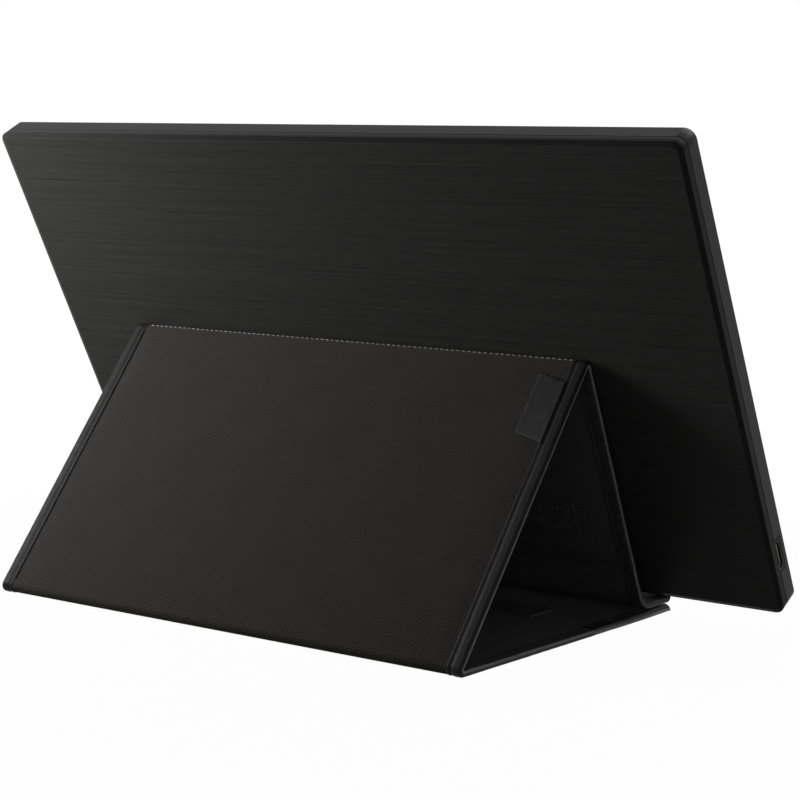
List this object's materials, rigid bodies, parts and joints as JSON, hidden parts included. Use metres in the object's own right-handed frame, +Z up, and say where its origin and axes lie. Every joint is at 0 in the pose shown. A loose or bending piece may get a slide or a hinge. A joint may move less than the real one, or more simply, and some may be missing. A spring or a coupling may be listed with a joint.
{
  "type": "portable monitor with cover",
  "caption": "Thin portable monitor leaning on its own fabric cover, which is folded into a triangular stand with a soft foot and lip.",
  "frame": {"origin": "on the table under the middle of the standing object, in width and in depth", "axes": "+Z up; +X to the left of someone who looks at the monitor's back; +Y from the screen's side to the stand's rear fold"},
  "size_m": [0.382, 0.1794, 0.2246],
  "materials": {
    "front_frame": "fine matt texture",
    "rear_cover": "dark anodised, brushed across",
    "screen_glass": "anti-glare coating over a dark panel",
    "foam_tape": "foam",
    "clear_film": "prismatic film",
    "white_film": "satin white",
    "light_guide": "clear with printed dots",
    "led_strip": "white resin with yellow phosphor",
    "tray": "plain sheet",
    "steel": "plated",
    "circuit_board": "solder mask",
    "flex": "amber film",
    "cable": "ribbon",
    "chip": "moulded resin",
    "thermal_pad": "soft silicone",
    "tongue": "moulded, with plated contacts",
    "outer_cloth": "fine twill",
    "lining": "fine twill lining",
    "binding": "woven tape, slightly glossy",
    "board": "stiff grey board",
    "stay": "springy strip",
    "pad": "soft foam",
    "hook_and_loop": "hook side ribbed, loop side fluffy",
    "hem": "woven tape",
    "tag": "smooth, slightly glossy"
  },
  "bodies": {
    "base": {"base_board": "board", "base_skin": "outer_cloth", "base_lining": "lining", "base_binding_left": "binding", "base_binding_right": "binding", "toe_cloth": "lining", "toe_binding_left": "binding", "toe_binding_right": "binding", "foot_cloth": "lining", "foot_binding_left": "binding", "foot_binding_right": "binding", "lip_stay": "stay", "ledge_pad": "pad", "hook_strip": "hook_and_loop", "rear_fold": "outer_cloth"},
    "back_panel": {"back_board": "board", "back_skin": "outer_cloth", "back_lining": "lining", "back_binding_left": "binding", "back_binding_right": "binding", "apex_fold": "outer_cloth", "side_tag": "tag"},
    "front_panel": {"front_board": "board", "front_skin": "outer_cloth", "front_lining": "lining", "front_binding_left": "binding", "front_binding_right": "binding", "loop_patch": "hook_and_loop", "hem_band": "hem"},
    "monitor": {"front_bezel": "front_frame", "bezel_tape": "foam_tape", "lcd_cell": "screen_glass", "prism_films": "clear_film", "diffuser_sheet": "white_film", "light_guide": "light_guide", "reflector_sheet": "white_film", "led_strip": "led_strip", "panel_frame": "white_film", "panel_tray": "tray", "panel_screws": "steel", "driver_board": "circuit_board", "driver_flex": "flex", "panel_cable": "cable", "main_board": "circuit_board", "controller_chip": "chip", "thermal_pad": "thermal_pad", "shield_can": "steel", "usb_socket": "steel", "usb_tongue": "tongue", "board_screws": "steel", "button_board": "circuit_board", "menu_switch": "chip", "light_pipe": "light_guide", "foam_spacers": "foam_tape", "rear_cover": "rear_cover"},
    "menu_key": {"menu_key": "front_frame"}
  },
  "joints": [
    {"name": "rear_hinge", "type": "hinge", "parent": "base", "child": "back_panel", "pos_m": [0.0086, 0.0865, 0.0032], "axis": [1, 0, 0], "range_deg": [-127.5, 0]},
    {"name": "apex_hinge", "type": "hinge", "parent": "back_panel", "child": "front_panel", "pos_m": [0.0086, -0.00464, 0.1212], "axis": [1, 0, 0], "range_deg": [0, 60]},
    {"name": "monitor_lift", "type": "slide", "parent": "base", "child": "monitor", "axis": [0, 0.4879, 0.8729], "range_m": [0, 0.25]},
    {"name": "menu_key_press", "type": "slide", "parent": "monitor", "child": "menu_key", "axis": [0, 0.8729, -0.4879], "range_m": [0, 0.0005], "stiffness_N_per_m": 300, "springref_m": -0.0005}
  ],
  "couplings": [
    {"joint": "apex_hinge", "follows": "rear_hinge", "ratio": -0.4706}
  ]
}
